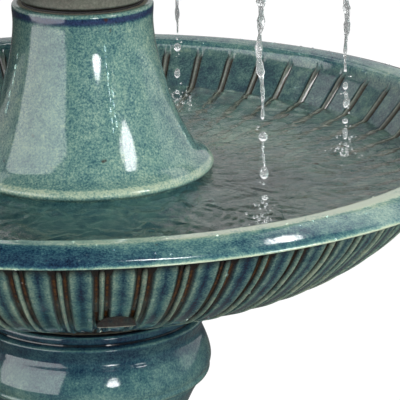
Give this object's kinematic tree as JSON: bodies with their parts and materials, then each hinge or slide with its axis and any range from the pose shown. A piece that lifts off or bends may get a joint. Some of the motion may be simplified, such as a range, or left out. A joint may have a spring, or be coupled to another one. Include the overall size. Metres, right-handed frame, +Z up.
{
  "type": "tiered garden fountain",
  "caption": "Tiered garden fountain in glazed ceramic: pump-fed finial, spouted upper bowls and a wide fluted basin on a turned pedestal.",
  "frame": {"origin": "centre of the ground face, on the axis of the column, level with the underside of the rubber feet", "axes": "+Z up the column; +Y to the back, where the mains lead leaves the pedestal"},
  "size_m": [0.62, 0.62, 0.9065],
  "materials": {
    "glaze_deep": "glossy reactive glaze, blue-green with blue mottling",
    "glaze_pale": "glossy reactive glaze, grey-green with blue streaks",
    "rubber_black": "matt",
    "tube_vinyl": "translucent",
    "pump_plastic": "fine-grained moulding",
    "dial_plastic": "satin",
    "impeller_plastic": "satin",
    "lamination_steel": "stacked laminations",
    "coil_copper": "enamelled wire",
    "stainless": "bright",
    "ferrite": "matt sintered magnet",
    "foam_blue": "open-cell foam"
  },
  "bodies": {
    "pedestal": {"pedestal": "glaze_deep", "pedestal_feet": "rubber_black", "bowl_seat_gasket": "rubber_black"},
    "lower_bowl": {"lower_bowl": "glaze_deep", "lead_stopper": "rubber_black", "stem_gasket": "rubber_black", "riser_tube": "tube_vinyl", "tube_clamp": "pump_plastic", "pump_body": "pump_plastic", "stator_core": "lamination_steel", "stator_coils": "coil_copper", "pump_volute": "pump_plastic", "volute_screws": "stainless", "inlet_cover": "pump_plastic", "filter_foam": "foam_blue", "impeller_shaft": "stainless", "shaft_bushes": "rubber_black", "suction_cups": "rubber_black", "lead_gland": "rubber_black"},
    "flow_dial": {"flow_dial": "dial_plastic"},
    "impeller": {"impeller": "impeller_plastic", "rotor_magnet": "ferrite"},
    "stem": {"stem": "glaze_pale", "upper_bowl_gasket": "rubber_black"},
    "upper_bowl": {"upper_bowl": "glaze_deep", "upper_bowl_grommet": "rubber_black", "upper_stem_gasket": "rubber_black"},
    "upper_stem": {"upper_stem": "glaze_pale", "top_bowl_gasket": "rubber_black"},
    "top_bowl": {"top_bowl": "glaze_deep", "top_bowl_grommet": "rubber_black", "finial_gasket": "rubber_black"},
    "finial": {"finial": "glaze_pale"}
  },
  "joints": [
    {"name": "lower_bowl_lift", "type": "slide", "parent": "pedestal", "child": "lower_bowl", "axis": [0, 0, 1], "range_m": [0, 0.08]},
    {"name": "stem_lift", "type": "slide", "parent": "lower_bowl", "child": "stem", "axis": [0, 0, 1], "range_m": [0, 0.12]},
    {"name": "upper_bowl_lift", "type": "slide", "parent": "stem", "child": "upper_bowl", "axis": [0, 0, 1], "range_m": [0, 0.08]},
    {"name": "upper_stem_lift", "type": "slide", "parent": "upper_bowl", "child": "upper_stem", "axis": [0, 0, 1], "range_m": [0, 0.06]},
    {"name": "top_bowl_lift", "type": "slide", "parent": "upper_stem", "child": "top_bowl", "axis": [0, 0, 1], "range_m": [0, 0.06]},
    {"name": "finial_lift", "type": "slide", "parent": "top_bowl", "child": "finial", "axis": [0, 0, 1], "range_m": [0, 0.05]},
    {"name": "impeller_spin", "type": "hinge", "parent": "lower_bowl", "child": "impeller", "pos_m": [0, 0, 0.472], "axis": [0, 1, 0], "continuous": true},
    {"name": "flow_dial_turn", "type": "hinge", "parent": "lower_bowl", "child": "flow_dial", "pos_m": [0, 0, 0.472], "axis": [0, -1, 0], "range_deg": [0, 60]}
  ]
}
